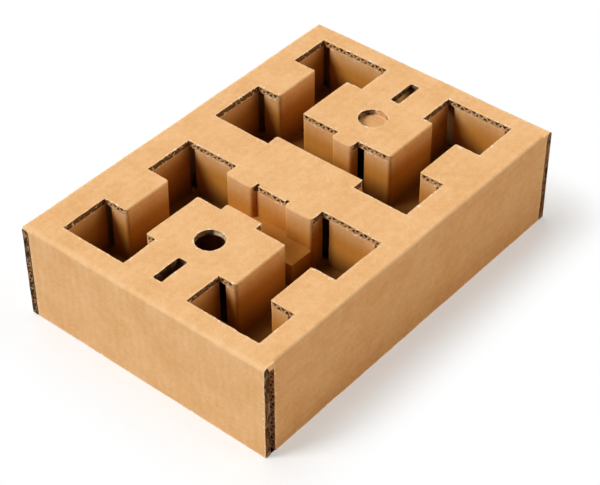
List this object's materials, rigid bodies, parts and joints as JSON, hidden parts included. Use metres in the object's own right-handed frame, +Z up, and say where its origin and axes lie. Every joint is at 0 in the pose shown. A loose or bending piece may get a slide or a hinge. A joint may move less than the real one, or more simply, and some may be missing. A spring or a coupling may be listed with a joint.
{
  "type": "corrugated insert tray",
  "caption": "Die-cut and folded corrugated board insert: a top panel with pockets round tongue-shaped islands, finger holes and slots, carried on four folded walls.",
  "frame": {"origin": "on the floor, under the middle of the top panel", "axes": "+Z up out of the top panel, +Y along the tray's long side, X across it"},
  "size_m": [0.206, 0.3, 0.076],
  "materials": {
    "board": "matte"
  },
  "bodies": {
    "root": {"insert_tray": "board"}
  },
  "joints": []
}
